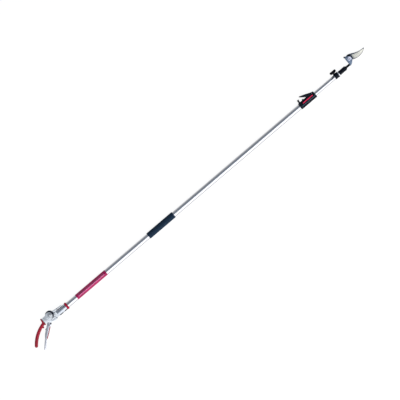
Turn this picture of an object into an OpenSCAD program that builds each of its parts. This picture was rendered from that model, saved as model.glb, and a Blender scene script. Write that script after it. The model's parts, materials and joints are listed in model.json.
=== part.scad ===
// Telescoping long-reach pruner, lying flat with its handles towards -Y.
// Pole frame: X runs along the pole from the rear grip's tip to the jaws, with y = z = 0 on the pole's axis.
// place() moves that frame so that the origin is the middle of the object's footprint, on the floor.

/* [Pole] */
// Outside diameter of the outer tube
outer_tube_od = 23.2; // [21:0.2:27]
// Wall of the outer tube
outer_tube_wall = 1.2; // [0.8:0.1:1.8]
// Length of the outer tube
outer_tube_len = 1364; // [1000:2:2000]
// Outside diameter of the inner tube
inner_tube_od = 18.6; // [16.6:0.2:18.8]
// Wall of the inner tube
inner_tube_wall = 1.2; // [0.8:0.1:1.6]
// Length of inner tube that shows when the pole is closed
inner_tube_show = 107; // [60:1:200]
// How far the inner tube slides out
pole_travel = 1170; // [600:5:1700]
// Diameter of the tube that carries the pull to the jaws
pull_tube_od = 8; // [7:0.2:9]
// Diameter of the rod at the jaws
front_rod_d = 4; // [3:0.2:4.4]

/* [Rear grip] */
// Length of the grip along its curve
grip_len = 98; // [80:1:120]
// Radius of the grip's curve
grip_bend_r = 148; // [110:1:220]
// Width of the grip in the plane of its curve
grip_w = 14; // [12:0.5:16]
// Thickness of the grip across its curve
grip_t = 21; // [18:0.5:26]
// Thickness of the grip's sleeve
grip_skin = 2.6; // [1.5:0.1:3.5]

/* [Trigger] */
// Length of the trigger lever outside the housing
trigger_len = 97; // [70:1:110]
// Width of the trigger lever across its channel
trigger_t = 16; // [14:0.5:22]
// Thickness of the trigger's flat tang inside the housing
tang_t = 6; // [4:0.2:7]
// Distance from the trigger's pivot to the pull pin
pull_arm = 20; // [18:0.5:21]

/* [Housing] */
// Length of the cast housing
housing_len = 65; // [60:1:75]
// Thickness of the cast housing
housing_t = 27; // [25:0.5:30]
// Height of the housing's upper edge above the pole's axis
housing_top = 26.6; // [24:0.2:30]
// Radius of the boss around the trigger's pivot
boss_r = 18.7; // [17:0.1:20]
// Height of the trigger's pivot above the pole's axis
pivot_rise = 16.7; // [16:0.1:18]
// Length of the socket that holds the outer tube
socket_len = 45; // [35:1:60]
// Wall of the socket around the outer tube
socket_wall = 1.9; // [1.4:0.1:2.6]
// Diameter of the ring at the end of the socket
ring_d = 31; // [30:0.5:34]
// Width of that ring
ring_w = 7.5; // [5:0.5:12]

/* [Pole fittings] */
// Length of the plain coloured sleeve
sleeve_len = 159; // [80:1:200]
// Thickness of that sleeve
sleeve_t = 0.5; // [0.3:0.1:1]
// Distance from the socket's end to the sleeve
sleeve_gap = 59; // [30:1:80]
// Length of the foam grip
foam_len = 137; // [100:1:200]
// Thickness of the foam
foam_t = 2.4; // [2:0.1:3.5]
// Distance from the sleeve's end to the foam grip
foam_gap = 229; // [150:1:300]
// Length of the flip lock
clamp_len = 80; // [76:1:90]
// Distance that the flip lock covers the outer tube
clamp_grip = 56; // [52:1:58]

/* [Head] */
// Length of the collar that carries the clamp knob
collar_len = 19; // [16:0.5:24]
// Diameter of the collar
collar_d = 24.4; // [22:0.2:27]
// Diameter of the clamp knob
knob_d = 29.6; // [24:0.2:30.4]
// Height of the clamp knob
knob_h = 13; // [10:0.5:16]
// Length of the round socket behind the jaws
head_socket_len = 36; // [34:1:45]
// Length of the stem between that socket and the jaws
stem_len = 22; // [16:1:32]
// Diameter of the stem
stem_d = 9.6; // [8.4:0.2:10.4]
// Height of the jaws' pivot above the pole's axis
jaw_rise = 19.6; // [19.2:0.1:20.4]
// Reach of the jaws beyond their pivot
jaw_reach = 75; // [68:1:90]
// Thickness of the cutting blade
blade_t = 3; // [2:0.1:3.4]
// Thickness of the fixed hook
hook_t = 3; // [2:0.1:3.6]

/* [Fits] */
// Gap on each side of parts that slide or turn past each other
run_gap = 0.3; // [0.2:0.05:0.4]
// Gap on each side of a pin in its hole
pin_gap = 0.1; // [0.05:0.01:0.2]

/* [Hidden] */
$fn = 72;
eps = 0.5; // how far a cut runs past the face it opens

// Stations along the pole
grip_reach = 95;
housing_x = grip_reach;
socket_x = housing_x + housing_len;
socket_end = socket_x + socket_len;
tube_x = socket_x + 6;
ring_x = socket_end + 1;
sleeve_x = socket_end + sleeve_gap;
foam_x = sleeve_x + sleeve_len + foam_gap;
tube_end = tube_x + outer_tube_len;
clamp_x = tube_end - clamp_grip;
clamp_end = clamp_x + clamp_len;
collar_x = clamp_end + inner_tube_show;
inner_end = collar_x + collar_len;
inner_overlap = 95; // tube left inside the outer one when the pole is fully out
inner_tube_len = pole_travel + inner_overlap + clamp_grip + inner_tube_show + collar_len;
inner_x = inner_end - inner_tube_len;
head_x = inner_end + 4; // the silver ring fills this gap
stem_x = head_x + head_socket_len;
jaw_x = stem_x + stem_len; // face of the casting's neck
jaw_pivot = [jaw_x + 14, jaw_rise];
jaw_tip = jaw_pivot[0] + jaw_reach;

// Radii along the pole
outer_r = outer_tube_od / 2;
outer_bore = outer_r - outer_tube_wall;
inner_r = inner_tube_od / 2;
inner_bore = inner_r - inner_tube_wall;
pull_r = pull_tube_od / 2;
rod_r = front_rod_d / 2;
socket_r = outer_r + socket_wall;
half_t = housing_t / 2;
ring_r = max(ring_d / 2, socket_r + 1.5);

// Heights of the flip lock's parts above the pole's axis, and the level of the floor below it
block_half = outer_r + 0.5;
cheek_in = block_half + run_gap;
cheek_t = 2.8;
cheek_out = cheek_in + cheek_t;
bolt_head_t = 1.6;
floor_z = max(ring_r, cheek_out, half_t + bolt_head_t, knob_d / 2);

// Trigger pivot, its travel and the pull pin at rest
pivot = [housing_x + 36.8, pivot_rise];
trigger_swing = 30; // full travel of the trigger, in degrees
pin_at = pivot + pull_arm * [-sin(trigger_swing / 2), -cos(trigger_swing / 2)];
pull_stroke = 2 * pull_arm * sin(trigger_swing / 2);
hub_r = 8.8;
spigot_x = socket_x - 6; // rear face of the spigot that seats the tube socket in the housing
flange_w = 5; // flange of the tube socket against the housing, and half its height
flange_h = 9;
cavity_h = tang_t / 2 + 2.8; // half height of the space between the housing's walls

// Rear grip: an arc that leaves the housing downwards
grip_start = [housing_x - 7, 6];
grip_slope = 13.5;
grip_centre = grip_start + grip_bend_r * [sin(grip_slope), -cos(grip_slope)];
grip_turn = grip_len / grip_bend_r * 180 / PI;
grip_tip = ribbon_point(grip_start, grip_slope, grip_bend_r, grip_len);
core_w = grip_w - 2 * grip_skin;
core_t = grip_t - 2 * grip_skin;
core_turn = grip_turn - 2; // the core stops short of the sleeve's round end
grip_bevel = 3.5;

// Trigger lever: a flatter arc beside it
lever_start = [housing_x + 4.5, -14.5];
lever_slope = 35.4;
lever_bend_r = 460;
lever_tip_r = 4.1;
lever_wide = 7.4;

// Blade pull: the pin's place at rest and the blade's travel
blade_arm = jaw_rise - 0.3;
blade_swing = 2 * asin(pull_stroke / 2 / blade_arm);
rod_pin_at = jaw_pivot + blade_arm * [-sin(blade_swing / 2), -cos(blade_swing / 2)];
rod_pin_r = 1.5;
bearing_r = 4; // bolt that the trigger turns on, and bush that the blade turns on
jaw_bolt_r = 3;

// Levels of the jaws' layers above the pole's axis
blade_z = rod_r + 0.2;
hook_z = blade_z - 0.1 - hook_t;
cover_z = blade_z + blade_t + 1;
cover_t = 3.3;
back_z = -9;
back_top = -3.8;

// The object's footprint, for the placement
x_low = grip_tip[0] - grip_w / 2;
lever_tip = ribbon_point(lever_start, lever_slope, lever_bend_r, trigger_len);
y_low = lever_tip[1] - lever_tip_r;
post_r = 3.3;
post_at = jaw_pivot + [-13, 16.9];
y_high = post_at[1] + post_r;

function bezier(a, b, c, d, t) =
    pow(1 - t, 3) * a + 3 * t * pow(1 - t, 2) * b + 3 * t * t * (1 - t) * c + t * t * t * d;
function curve(a, b, c, d, n = 16) = [for (i = [0:n]) bezier(a, b, c, d, i / n)];
function smooth(t) = let(u = max(0, min(1, t))) u * u * (3 - 2 * u);
// A point at distance s along an arc of radius r that starts at p, falling at angle slope
function ribbon_angle(slope, r, s) = 90 + slope + s / r * 180 / PI;
function ribbon_point(p, slope, r, s, off = 0) =
    let(a = ribbon_angle(slope, r, s))
    p + r * [sin(slope), -cos(slope)] + (r + off) * [cos(a), sin(a)];
function lever_half(u) = lever_wide - (lever_wide - lever_tip_r) * smooth((u - 0.32) / 0.3);
function lever_edge(side, from, to, extra = 0, n = 24) =
    [for (i = [0:n])
        let(u = from + (to - from) * i / n, off = side * (lever_half(u) + extra))
        ribbon_point(lever_start, lever_slope, lever_bend_r, u * trigger_len, off)];
// Points of an arc about c, from angle a to angle b
function arc(c, r, a, b, n = 12) =
    [for (i = [0:n]) let(t = a + (b - a) * i / n) c + r * [cos(t), sin(t)]];
function reversed(v) = [for (i = [len(v) - 1:-1:0]) v[i]];

module place() {
    translate([-(x_low + jaw_tip) / 2, -(y_low + y_high) / 2, floor_z]) children();
}
// Round bar along X
module bar_x(x0, x1, r, y = 0, z = 0) {
    translate([x0, y, z]) rotate([0, 90, 0]) cylinder(h = x1 - x0, r = r);
}
// Tube along X
module tube_x(x0, x1, r, bore) {
    difference() {
        bar_x(x0, x1, r);
        bar_x(x0 - eps, x1 + eps, bore);
    }
}
// Round bar along Z at p, from level z0 to z1
module bar_z(p, z0, z1, r) {
    translate([p[0], p[1], z0]) cylinder(h = z1 - z0, r = r);
}
// Flat plate between two levels
module plate(z0, z1) {
    translate([0, 0, z0]) linear_extrude(z1 - z0) children();
}
// Slot outline of radius r between two points
module slot2d(a, b, r) {
    hull() {
        translate(a) circle(r, $fn = 32);
        translate(b) circle(r, $fn = 32);
    }
}
module box(x0, x1, y0, y1, z0, z1) {
    translate([x0, y0, z0]) cube([x1 - x0, y1 - y0, z1 - z0]);
}
// The grip's arc, with bevelled edges b wide
module grip_arc(w, t, b, turn = grip_turn) {
    u = w / 2 - b;
    v = t / 2 - b;
    translate(grip_centre) rotate([0, 0, 90 + grip_slope]) rotate_extrude(angle = turn)
        translate([grip_bend_r, 0]) polygon([
            [-u, -t / 2], [u, -t / 2], [w / 2, -v], [w / 2, v],
            [u, t / 2], [-u, t / 2], [-w / 2, v], [-w / 2, -v],
        ]);
}

// ---- Housing ----
screw_spots = [[housing_x + 8, 22.5], [housing_x + 59, 13.2], [housing_x + 54, -11.5]];
core_tang = [
    [housing_x - 12, 1], [housing_x + 14, 15], [housing_x + 14, 20.5],
    [housing_x - 6, 20.5], [housing_x - 7, 10], [housing_x - 12, 9],
];

module housing_outline() {
    top_angle = 180 - asin((housing_top - pivot_rise) / boss_r);
    polygon(concat(
        [[housing_x, housing_top]],
        arc(pivot, boss_r, top_angle, 20, 20),
        // tapered arm over the tube socket
        [[socket_x - 2, 21.6], [socket_x + 37, 17.8], [socket_x + 37, 14.8]],
        [[socket_x, 14.6], [socket_x, -7]],
        // bulge under the pull
        arc([pivot[0] + 8.2, 3], 19.4, -40, -128, 16),
        [[pivot[0] - 14, -12], [pivot[0] - 23, -2], [housing_x + 3.4, -1]]
    ));
}
// Space for the tang, the clevis and the pull, open downwards where the trigger comes out
module cavity_outline() {
    translate(pivot) circle(hub_r + 1);
    polygon([
        pivot + [-hub_r - 2, 4], [housing_x - eps, -4], [housing_x - eps, -30], [pivot[0] + 1, -30],
        [pivot[0] + 6, -8.6], [pivot[0] + 14, -8.6], pivot + [hub_r + 1, 0],
    ]);
    translate([pivot[0] - 14, -8.6]) square([spigot_x - pivot[0] + 14, 15.4]);
}
module flange_box(gap) {
    box(
        socket_x, socket_x + flange_w + gap,
        -socket_r - gap, socket_r + gap, -flange_h - gap, flange_h + gap
    );
}
module housing_half(z0, z1, inner) {
    difference() {
        plate(z0, z1) housing_outline();
        plate(inner[0], inner[1]) cavity_outline();
        plate(-5, 5) polygon(core_tang);
        for (p = screw_spots) bar_z(p, z0 - eps, z1 + eps, 1.75);
        bar_z(pivot, z0 - eps, z1 + eps, bearing_r + pin_gap);
        // spigot of the tube socket
        bar_x(spigot_x, socket_x + eps, 11);
        // room for the socket below the arm
        bar_x(socket_x, socket_end, socket_r + 0.2);
        flange_box(0.2);
        children();
    }
}
module housing_lower() {
    color("silver") housing_half(-half_t, 0, [-cavity_h, eps]) {
        for (p = screw_spots) bar_z(p, -half_t - eps, -half_t + 2, 3.1);
        bar_z(pivot, -half_t - eps, -half_t + 1.5, 7.1);
    }
}
module housing_upper() {
    color("silver") {
        housing_half(0, half_t, [-eps, cavity_h]) {
            for (p = screw_spots) bar_z(p, half_t - 2, half_t + eps, 3.1);
            // long oval groove on the bulge
            plate(half_t - 1.2, half_t + eps) difference() {
                slot2d([pivot[0] - 3, -4], [pivot[0] + 13, -4], 4.4);
                slot2d([pivot[0] - 3, -4], [pivot[0] + 13, -4], 2.9);
            }
            // dark slot in the arm
            plate(half_t - 9, half_t + eps) polygon([
                [socket_x + 8, 18.6], [socket_x + 33, 16.8], [socket_x + 33, 16.2], [socket_x + 8, 17],
            ]);
        }
        // low disc and hub that the lock catch turns on
        difference() {
            bar_z(pivot, half_t, half_t + 1, boss_r - 0.6);
            bar_z(pivot, half_t - eps, half_t + 2, bearing_r + pin_gap);
        }
    }
}
module housing_screws() {
    color("dimgray") for (p = screw_spots) {
        difference() {
            bar_z(p, half_t - 2, half_t - 0.2, 2.9);
            plate(half_t - 1.4, half_t) translate(p) rotate(30) square([4, 0.9], center = true);
        }
        bar_z(p, -half_t + 2, half_t - 2, 1.65);
        bar_z(p, -half_t + 0.2, -half_t + 2, 2.9);
    }
}
module handle_core() {
    color("gray") {
        grip_arc(core_w, core_t, 1, core_turn);
        plate(-5, 5) polygon(core_tang);
    }
}
module grip_flare_outline() {
    polygon([
        [housing_x - 8, 28.6], [housing_x - 0.4, 28.6], [housing_x + 3.1, -2], [housing_x - 5, -4.4],
        [housing_x - 14, -5], [housing_x - 16, 9.6], [housing_x - 9.6, 15],
    ]);
}
module rear_grip() {
    color("crimson") difference() {
        union() {
            grip_arc(grip_w, grip_t, grip_bevel);
            // round end
            translate(grip_tip) rotate_extrude() polygon([
                [0, -grip_t / 2], [grip_w / 2 - grip_bevel, -grip_t / 2],
                [grip_w / 2, grip_bevel - grip_t / 2], [grip_w / 2, grip_t / 2 - grip_bevel],
                [grip_w / 2 - grip_bevel, grip_t / 2], [0, grip_t / 2],
            ]);
            plate(-grip_t / 2 - 0.6, grip_t / 2 + 0.6) grip_flare_outline();
            // stop on the inner side
            bar_z([housing_x - 16.5, -5.6], -6, 6, 3.6);
        }
        grip_arc(core_w, core_t, 1, core_turn);
        plate(-5, 5) polygon(core_tang);
    }
}

// ---- Trigger ----
module trigger_outline() {
    polygon(concat(lever_edge(1, 0, 1), reversed(lever_edge(-1, 0, 1))));
    translate(lever_tip) circle(lever_tip_r);
}
module trigger_lever() {
    color("gainsboro") difference() {
        union() {
            plate(-trigger_t / 2, trigger_t / 2) trigger_outline();
            // flat tang into the housing, with the arm to the pull pin
            plate(-tang_t / 2, tang_t / 2) {
                hull() {
                    translate(pivot) circle(hub_r, $fn = 32);
                    translate(pin_at) circle(4.6, $fn = 32);
                }
                polygon([
                    pivot + [-6, 6], lever_start + [-2, 8.5], lever_start + [-6, 0],
                    lever_start + [6, -7], lever_start + [13, -2], pivot + [3, -7],
                ]);
            }
        }
        // channel along the inner side
        plate(-trigger_t / 2 + 2, trigger_t / 2 - 2)
            polygon(concat(lever_edge(1, 0.09, 0.46, eps), reversed(lever_edge(-1, 0.09, 0.46, -6))));
        // seat of the pad along the outer side
        plate(-trigger_t / 2 - eps, trigger_t / 2 + eps) pad_outline();
        bar_z(pivot, -tang_t, tang_t, 5.5);
        plate(-tang_t, tang_t)
            slot2d(pin_at, pin_at + 0.8 * (pivot - pin_at) / pull_arm, 2 + 2 * pin_gap);
        bar_z(screw_at, -tang_t, tang_t, 1.6);
        bar_z(bumper_at, -tang_t, tang_t, 1.6);
    }
}
screw_at = lever_start + [13.4, 1.6];
bumper_at = ribbon_point(lever_start, lever_slope, lever_bend_r, 0.17 * trigger_len, lever_wide - 1);
module pad_outline() {
    polygon(concat(lever_edge(-1, 0.02, 0.56, 1), reversed(lever_edge(-1, 0.02, 0.56, -2.2))));
}
module trigger_pad() {
    color("firebrick") plate(-trigger_t / 2 - 0.6, trigger_t / 2 + 0.6) pad_outline();
}
module trigger_bumper() {
    color("black") {
        bar_z(bumper_at, -trigger_t / 2 + 2.2, trigger_t / 2 - 2.2, 3.2);
    }
}
module trigger_screw() {
    color("black") {
        bar_z(screw_at, tang_t / 2, tang_t / 2 + 3, 3);
        bar_z(screw_at, -tang_t / 2, tang_t / 2, 1.6);
        bar_z(screw_at, -tang_t / 2 - 3, -tang_t / 2, 3);
    }
}
module trigger_bush() {
    color("goldenrod") difference() {
        bar_z(pivot, -tang_t / 2 - 0.2, tang_t / 2 + 0.2, 5.5);
        bar_z(pivot, -tang_t, tang_t, bearing_r + pin_gap);
    }
}
module trigger_bolt() {
    color("lightgray") {
        bar_z(pivot, -half_t, half_t + 4.4, bearing_r);
        bar_z(pivot, -half_t - bolt_head_t, -half_t + 1.4, 7);
    }
}
module trigger_nut() {
    color("lightgray") difference() {
        union() {
            bar_z(pivot, half_t + 1, half_t + 2.2, 8);
            translate([pivot[0], pivot[1], half_t + 2.2]) cylinder(h = 2, r = 6.4, $fn = 6);
        }
        bar_z(pivot, half_t, half_t + 6, bearing_r);
    }
}
// Crescent that turns on the boss and holds the trigger closed
module lock_catch() {
    color("midnightblue") plate(half_t + 1.2, half_t + 4) difference() {
        translate(pivot) circle(boss_r);
        translate(pivot + [-6.2, -1.8]) circle(17);
        translate(pivot) circle(8 + run_gap);
    }
}

// ---- Pull ----
module pull_clevis() {
    x0 = pin_at[0] - 6;
    fork_end = x0 + 15.8;
    x1 = spigot_x - pull_stroke - 0.6;
    color("darkgray") difference() {
        box(x0, x1, pin_at[1] - 5, 5.4, -tang_t / 2 - 2.2, tang_t / 2 + 2.2);
        box(x0 - eps, fork_end, -20, 20, -tang_t / 2 - 0.2, tang_t / 2 + 0.2);
        bar_z(pin_at, -10, 10, 2);
        bar_x(fork_end - 1, x1 + eps, pull_r);
    }
}
module clevis_pin() {
    color("dimgray") bar_z(pin_at, -tang_t / 2 - 2.4, tang_t / 2 + 2.4, 2);
}
module pull_tube() {
    color("darkgray") tube_x(pin_at[0] + 10, tube_end - 30, pull_r, rod_r + run_gap);
}
module guide_bush() {
    color("ivory") tube_x(spigot_x + 2, tube_x, 7, pull_r + run_gap);
}

// ---- Tube socket ----
module tube_socket() {
    color("gainsboro") difference() {
        union() {
            bar_x(socket_x, socket_end, socket_r);
            bar_x(spigot_x, socket_x, 10.9);
            flange_box(0);
        }
        bar_x(tube_x, socket_end + eps, outer_r);
        bar_x(spigot_x + 2, tube_x + eps, 7);
        bar_x(spigot_x - eps, socket_x, pull_r + run_gap);
        // clamping slits above and below
        box(tube_x + 2, socket_end + eps, 6, 7.6, 4, 20);
        box(tube_x + 2, socket_end + eps, 6, 7.6, -20, -4);
        // seats of the two pads
        for (x = pad_spans) box(x[0], x[1], -20, 2 - outer_r, -20, 20);
    }
}
pad_spans = [[socket_x + 5.5, socket_x + 21], [socket_x + 31, socket_end]];
module socket_pads() {
    color("darkslategray") for (x = pad_spans) intersection() {
        tube_x(x[0], x[1], socket_r + 0.2, outer_r);
        box(x[0], x[1], -20, 2 - outer_r, -20, 20);
    }
}
module end_ring() {
    color("crimson") tube_x(ring_x, ring_x + ring_w, ring_r, outer_r);
}

// ---- Pole ----
module outer_tube() {
    color("silver") difference() {
        tube_x(tube_x, tube_end, outer_r, outer_bore);
        for (x = rivet_xs) translate([x, 0, -20]) cylinder(h = 20, r = 2);
    }
}
module plain_sleeve() {
    color("mediumvioletred") tube_x(sleeve_x, sleeve_x + sleeve_len, outer_r + sleeve_t, outer_r);
}
module foam_grip() {
    color("slategray") difference() {
        union() {
            bar_x(foam_x + 2, foam_x + foam_len - 2, outer_r + foam_t);
            bar_x(foam_x, foam_x + foam_len, outer_r + foam_t - 1);
        }
        bar_x(foam_x - eps, foam_x + foam_len + eps, outer_r);
    }
}

// ---- Flip lock ----
lever_hinge = [clamp_end - 9, outer_r + 0.7];
ear_r = 4.4;
lever_pin_r = 1.5;
clamp_half = floor_z;
shelf_y = 6;
post_x = clamp_x + 8;
module clamp_body() {
    color("black") difference() {
        union() {
            // wide base, narrower upper block, hinge ears and catch post
            box(clamp_x, clamp_end, -outer_r - 2.6, shelf_y, -clamp_half, clamp_half);
            box(clamp_x, clamp_end, -outer_r, outer_r + 3, -block_half, block_half);
            box(clamp_x, clamp_x + 14, 0, outer_r + 3, -clamp_half, clamp_half);
            box(post_x - 3.4, post_x + 3.4, outer_r, outer_r + 15.8, -7, 7);
            box(post_x, post_x + 5.6, outer_r + 13, outer_r + 15.8, -7, 7);
            bar_z(lever_hinge, -block_half, block_half, ear_r);
        }
        bar_x(clamp_x - eps, tube_end, outer_r);
        bar_x(tube_end - eps, clamp_end - 3, inner_r + 0.9);
        bar_x(tube_end - eps, clamp_end + eps, inner_r + run_gap);
        bar_z(lever_hinge, -20, 20, lever_pin_r);
        translate([tension_at[0], outer_r, 0]) rotate([-90, 0, 0]) cylinder(h = 6, r = 2);
        for (x = rivet_xs) translate([x, 0, -clamp_half - eps]) cylinder(h = clamp_half, r = 2);
        // groove for the stripe
        box(stripe_x0, stripe_x1, stripe_y - 2.2, stripe_y + 2.2, clamp_half - 0.6, clamp_half + eps);
    }
}
stripe_x0 = clamp_x + 17;
stripe_x1 = clamp_x + 69;
stripe_y = 3.2;
module clamp_stripe() {
    color("red") box(stripe_x0, stripe_x1, stripe_y - 2.2, stripe_y + 2.2, clamp_half - 0.6, clamp_half);
}
module clamp_liner() {
    color("ivory") tube_x(tube_end, clamp_end - 3, inner_r + 0.9, inner_r + pin_gap);
}
module clamp_lever() {
    // outlines about the hinge
    top = [[-50, 19.8], [-48.6, 22.8], [-24, 14], [-5, 6]];
    cheek = concat(top, [[4, 2], [2, -4], [-6, -4], [-29, 3.6], [-46.6, 17.4]]);
    web = concat(top, [[-6.6, 4.4], [-24.6, 11], [-46.6, 17.4]]);
    color("black") difference() {
        union() {
            for (z = [-cheek_out, cheek_in]) plate(z, z + cheek_t) translate(lever_hinge) {
                polygon(cheek);
                circle(ear_r + 0.2);
            }
            plate(-cheek_out, cheek_out) translate(lever_hinge) polygon(web);
        }
        bar_z(lever_hinge, -20, 20, lever_pin_r + pin_gap);
        bar_z(lever_hinge, -cheek_in, cheek_in, ear_r + run_gap);
    }
}
module lever_pin() {
    color("lightgray") bar_z(lever_hinge, -cheek_out, cheek_out, lever_pin_r);
}
tension_at = [clamp_x + 26, outer_r + 3];
module tension_screw() {
    color("dimgray") translate([tension_at[0], outer_r, 0]) rotate([-90, 0, 0]) {
        cylinder(h = 3, r = 2);
        translate([0, 0, 3]) cylinder(h = 3.4, r = 4, $fn = 6);
    }
}
rivet_xs = [clamp_x + 12, clamp_x + 40];
module clamp_rivets() {
    color("dimgray") for (x = rivet_xs) translate([x, 0, -clamp_half + 0.3]) difference() {
        cylinder(h = clamp_half - 0.3 - outer_bore, r = 2);
        translate([0, 0, -1]) cylinder(h = 2, r = 0.9);
    }
}

// ---- Inner pole ----
key_x = collar_x - 20;
module tube_key_block(gap) {
    box(key_x - gap, key_x + 17 + gap, -0.4 - gap, 2.8 + gap, inner_bore - 1, inner_r + 0.4);
}
module inner_tube() {
    color("silver") difference() {
        tube_x(inner_x, inner_end, inner_r, inner_bore);
        box(key_x, key_x + 17, -0.4, 2.8, 0, 20);
        translate([stud_x, 0, 0]) rotate([-90, 0, 0]) cylinder(h = 20, r = 3);
    }
}
module rear_glide() {
    color("ivory") difference() {
        union() {
            bar_x(inner_x - 6, inner_x, outer_bore - pin_gap);
            bar_x(inner_x, inner_x + 20, inner_bore);
        }
        bar_x(inner_x - 7, inner_x + 21, pull_r + run_gap);
    }
}
module tube_key() {
    color("black") box(key_x, key_x + 17, -0.4, 2.8, inner_bore - 1, inner_r + 0.4);
}
stud_x = collar_x + 7;
module collar() {
    color("black") difference() {
        union() {
            bar_x(collar_x, inner_end, collar_d / 2 - 0.8);
            bar_x(collar_x + 1, collar_x + 5, collar_d / 2);
            bar_x(collar_x + 14, inner_end, collar_d / 2);
            translate([stud_x, 0, 0]) rotate([-90, 0, 0]) cylinder(h = collar_d / 2 + 0.6, r = 5.6);
        }
        bar_x(collar_x - eps, inner_end + eps, inner_r);
        translate([stud_x, 0, 0]) rotate([-90, 0, 0]) cylinder(h = 20, r = 2.5 + pin_gap);
    }
}
module collar_ring() {
    color("lightgray") tube_x(inner_end, head_x - 0.4, collar_d / 2 + 0.2, spigot_r + run_gap);
}
knob_y = collar_d / 2 + 1;
module knob() {
    r = knob_d / 2;
    color("black") translate([stud_x, knob_y, 0]) rotate([-90, 0, 0]) difference() {
        rotate_extrude() polygon([
            [0, 0], [7, 0], [7, 2], [r - 2.6, 2], [r - 0.8, 4], [r, knob_h - 4],
            [r - 0.6, knob_h - 1.4], [r - 2.4, knob_h], [0, knob_h],
        ]);
        translate([0, 0, -eps]) cylinder(h = 8, r = 2.5);
        for (i = [0:11]) rotate(i * 30) translate([r + 1.6, 0, 2.5]) cylinder(h = knob_h, r = 2.6);
    }
}
module knob_stud() {
    color("lightgray") translate([stud_x, spigot_r + 0.2, 0]) rotate([-90, 0, 0])
        cylinder(h = knob_y + 7 - spigot_r, r = 2.5);
}

// ---- Head ----
spigot_r = inner_bore - run_gap;
chamber_x = head_x + 6;
chamber_end = stem_x - 2;
stem_end = jaw_x + 5;
module head_socket() {
    color("black") difference() {
        union() {
            bar_x(head_x, stem_x, inner_r);
            bar_x(head_x - 20, head_x, spigot_r);
            bar_x(head_x + 4, head_x + 8, inner_r + 0.5);
            bar_x(stem_x - 6, stem_x - 3, inner_r + 0.5);
        }
        bar_x(head_x - 21, chamber_x, rod_r + run_gap);
        bar_x(chamber_x - 0.1, stem_x + eps, 6.4);
    }
}
module head_stem() {
    color("black") difference() {
        union() {
            bar_x(chamber_end, stem_x, 6.4);
            bar_x(stem_x, stem_end, stem_d / 2);
            bar_x(stem_x, stem_x + 4, stem_d / 2 + 1.6);
        }
        bar_x(chamber_end - eps, stem_end + eps, rod_r + run_gap);
    }
}
module cover_outline() {
    x = jaw_x;
    y = jaw_rise;
    polygon([
        [x - 0.4, -5.6], [x + 5, -4.6], [x + 12, 0], [x + 18, 5], [x + 22.4, y - 8],
        [x + 23, y + 1], [x + 20, y + 8], [x + 12, y + 14], [x + 5, y + 17.6], [x, y + 16],
        [x - 0.4, y - 8],
    ]);
    translate(post_at) circle(post_r - 0.4);
}
module head_casting() {
    color("lightsteelblue") difference() {
        union() {
            plate(back_z, back_top) cover_outline();
            plate(cover_z, cover_z + cover_t) cover_outline();
            box(jaw_x - 0.4, jaw_x + 3.2, -5.6, jaw_rise - 11, back_z, cover_z + cover_t);
            bar_z(jaw_pivot, back_top - eps, hook_z, 11);
            bar_x(jaw_x - 0.4, jaw_x + 3.2, stem_d / 2 + 1.6);
        }
        bar_x(jaw_x - 1, stem_end + 0.1, stem_d / 2);
        bar_z(jaw_pivot, -20, 20, jaw_bolt_r);
        for (p = rivet_spots) bar_z(p, -20, hook_z, 1.6);
        bar_z(post_at, -20, 20, post_r - 1.3);
    }
}
rivet_spots = [jaw_pivot + [6.6, 4.4], jaw_pivot + [-6.6, 4.4], jaw_pivot + [0, -7.6]];
tip = [jaw_tip, jaw_rise - 5];
function jaw(dx, dy) = jaw_pivot + [dx * jaw_reach / 75, dy];
module counter_blade() {
    color("lightslategray") plate(hook_z, hook_z + hook_t) difference() {
        polygon(concat(
            curve(tip, jaw(62, -19.6), jaw(30, -24.6), jaw(6, -10.6)),
            arc(jaw_pivot, 11.4, -75, -340, 20),
            curve(jaw(14, 2), jaw(26, -9), jaw(52, -14), tip + [-1.4, 0.8])
        ));
        translate(jaw_pivot) circle(jaw_bolt_r);
        for (p = rivet_spots) translate(p) circle(1.6);
    }
}
module hook_rivets() {
    color("gray") for (p = rivet_spots) bar_z(p, back_z - 0.8, hook_z + hook_t, 1.6);
}
module blade() {
    color("slategray") plate(blade_z, blade_z + blade_t) difference() {
        polygon(concat(
            curve(jaw(2, 17.6), jaw(22, 15.6), jaw(32, -3.6), tip + [-0.6, 1.8]),
            curve(tip + [-0.4, 0.4], jaw(60, -17), jaw(30, -20.6), jaw(9, -9.4)),
            // tail down to the pull's pin
            arc(rod_pin_at, 3.4, -15, -195, 10),
            arc(jaw_pivot, 12, -130, -230, 10),
            [jaw(-5, 15.9)]
        ));
        translate(jaw_pivot) circle(bearing_r + pin_gap);
        slot2d(rod_pin_at, rod_pin_at + (jaw_pivot - rod_pin_at) / blade_arm, rod_pin_r + 2 * pin_gap);
    }
}
module pivot_washer() {
    color("goldenrod") difference() {
        union() {
            bar_z(jaw_pivot, blade_z + blade_t + 0.1, cover_z, 7.5);
            bar_z(jaw_pivot, hook_z + hook_t, blade_z + blade_t + 0.1, bearing_r);
        }
        bar_z(jaw_pivot, hook_z, cover_z + eps, jaw_bolt_r);
    }
}
module jaw_bolt() {
    color("lightgray") {
        bar_z(jaw_pivot, back_z - 2.4, back_z, 6);
        bar_z(jaw_pivot, back_z, cover_z + cover_t + 2.6, jaw_bolt_r);
    }
}
module jaw_nut() {
    color("thistle") difference() {
        bar_z(jaw_pivot, cover_z + cover_t, cover_z + cover_t + 2, 8.6);
        bar_z(jaw_pivot, cover_z, cover_z + 10, jaw_bolt_r);
        for (a = [0:60:300])
            bar_z(jaw_pivot + 8.8 * [cos(a), sin(a)], cover_z, cover_z + 10, 1.1);
    }
}
module stop_post() {
    color("black") {
        bar_z(post_at, back_z - 0.4, cover_z + cover_t, post_r - 1.3);
        bar_z(post_at, back_top, cover_z, post_r);
        bar_z(post_at, cover_z + cover_t, cover_z + cover_t + 1.6, post_r);
    }
}
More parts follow.
